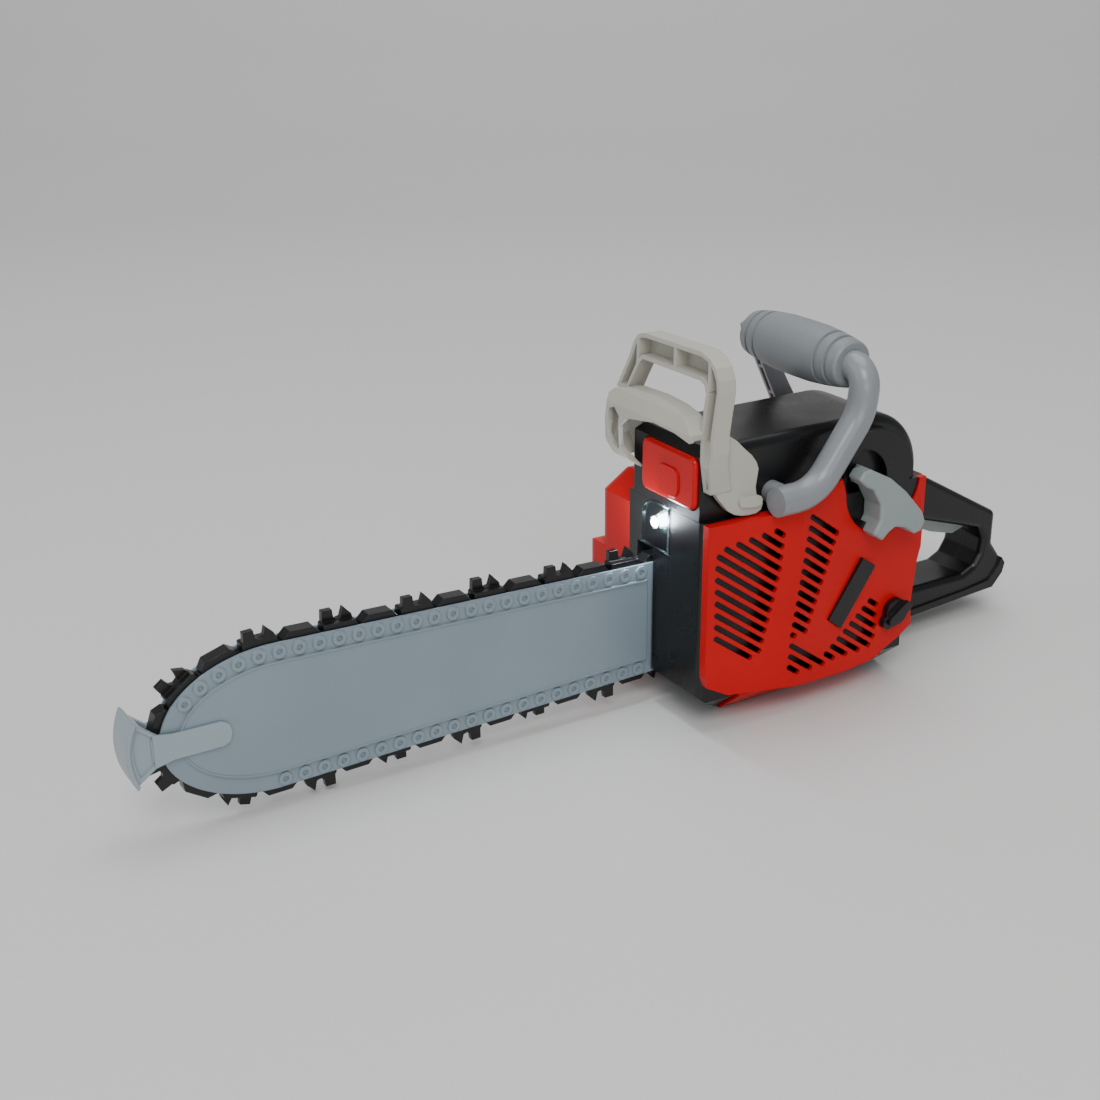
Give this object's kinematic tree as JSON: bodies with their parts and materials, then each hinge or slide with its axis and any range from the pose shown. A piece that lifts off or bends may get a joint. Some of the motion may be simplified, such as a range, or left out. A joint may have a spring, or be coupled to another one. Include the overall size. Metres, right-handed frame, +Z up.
{
  "type": "toy chainsaw",
  "caption": "Toy chainsaw: guide bar and chain, casing, front handle, hand guard, trigger, starter pull and lamp, with a motor and gear train inside.",
  "frame": {"origin": "on the flat base, under the casing, in the middle plane of the guide bar", "axes": "+X from the bar to the rear handle, +Y from the starter side to the clutch cover side, +Z up from the base"},
  "size_m": [0.4287, 0.1007, 0.1605],
  "materials": {
    "red_plastic": "moulded red, satin gloss",
    "black_plastic": "moulded black, fine satin",
    "bar_grey": "pale blue-grey with a faint metallic sheen",
    "tip_grey": "pale blue-grey with a faint metallic sheen",
    "guard_grey": "warm pale grey",
    "grip_grey": "mid grey",
    "handle_grey": "mid grey",
    "pull_grey": "pale grey-green",
    "trigger_grey": "pale grey",
    "button_red": "glossy red",
    "lens_clear": "clear",
    "led_white": "lit white",
    "steel": "drawn",
    "gear_white": "natural nylon",
    "board_green": "solder resist",
    "speaker_black": "paper cone and frame",
    "cell_wrap": "plain wrap"
  },
  "bodies": {
    "casing": {"left_housing": "black_plastic", "right_housing": "black_plastic", "starter_cover": "red_plastic", "stripe_inlay": "black_plastic", "clutch_cover": "red_plastic", "top_cover": "black_plastic", "button_switch": "speaker_black", "led_lens": "lens_clear", "led": "led_white", "led_board": "board_green", "guide_bar_left": "bar_grey", "guide_bar_right": "bar_grey", "tip_guard": "tip_grey", "chain": "black_plastic", "gear_axle": "steel", "motor": "steel", "gearbox_plate_inner": "gear_white", "gearbox_plate_outer": "gear_white", "gearbox_posts": "steel", "battery_box": "black_plastic", "batteries": "cell_wrap", "battery_contacts": "steel", "speaker": "speaker_black", "circuit_board": "board_green", "rear_handle_left": "black_plastic", "rear_handle_right": "black_plastic", "trigger_pin": "steel", "trigger_spring": "steel", "trigger_switch": "speaker_black", "guard_pins": "steel", "front_handle": "handle_grey", "front_grip": "grip_grey", "starter_dish": "black_plastic", "reel_axle": "steel", "cover_screws": "steel"},
    "drive": {"drive_wheel": "gear_white", "wheel_shaft": "steel", "output_gear": "gear_white"},
    "reduction": {"compound_gear": "gear_white"},
    "pinion": {"motor_pinion": "gear_white", "motor_shaft": "steel"},
    "trigger": {"trigger": "trigger_grey"},
    "guard": {"hand_guard": "guard_grey"},
    "button": {"light_button": "button_red"},
    "pull": {"starter_pull": "pull_grey"},
    "reel": {"starter_reel": "gear_white"},
    "cap": {"filler_cap": "black_plastic"},
    "door": {"battery_door": "black_plastic", "battery_door_screw": "steel"}
  },
  "joints": [
    {"name": "drive_spin", "type": "hinge", "parent": "casing", "child": "drive", "pos_m": [-0.032, 0, 0.0385], "axis": [0, 1, 0], "continuous": true},
    {"name": "reduction_spin", "type": "hinge", "parent": "casing", "child": "reduction", "pos_m": [-0.012, 0, 0.0385], "axis": [0, 1, 0], "continuous": true},
    {"name": "pinion_spin", "type": "hinge", "parent": "casing", "child": "pinion", "pos_m": [0.008, 0, 0.0385], "axis": [0, 1, 0], "continuous": true},
    {"name": "trigger_pull", "type": "hinge", "parent": "casing", "child": "trigger", "pos_m": [0.088, 0, 0.061], "axis": [0, -1, 0], "range_deg": [0, 8], "stiffness_Nm_per_rad": 0.15, "springref_deg": -5.73, "deforming": ["trigger_spring"]},
    {"name": "guard_tilt", "type": "hinge", "parent": "casing", "child": "guard", "pos_m": [-0.036, 0, 0.0975], "axis": [0, -1, 0], "range_deg": [0, 8]},
    {"name": "button_press", "type": "slide", "parent": "casing", "child": "button", "axis": [1, 0, 0], "range_m": [0, 0.002], "stiffness_N_per_m": 300, "springref_m": -0.001},
    {"name": "pull_out", "type": "slide", "parent": "casing", "child": "pull", "axis": [0, -1, 0], "range_m": [0, 0.014], "stiffness_N_per_m": 20, "springref_m": -0.02},
    {"name": "reel_turn", "type": "hinge", "parent": "casing", "child": "reel", "pos_m": [0.041, -0.022, 0.069], "axis": [1, 0, 0], "range_deg": [0, 75]},
    {"name": "cap_turn", "type": "hinge", "parent": "casing", "child": "cap", "pos_m": [0.0424, -0.0455, 0.0334], "axis": [0, -1, 0], "range_deg": [0, 90]},
    {"name": "door_out", "type": "slide", "parent": "casing", "child": "door", "axis": [0, 0, -1], "range_m": [0, 0.02]}
  ],
  "couplings": [
    {"joint": "reduction_spin", "follows": "drive_spin", "ratio": -3},
    {"joint": "pinion_spin", "follows": "drive_spin", "ratio": 9},
    {"joint": "reel_turn", "follows": "pull_out", "rad_per_m": 90.909}
  ]
}
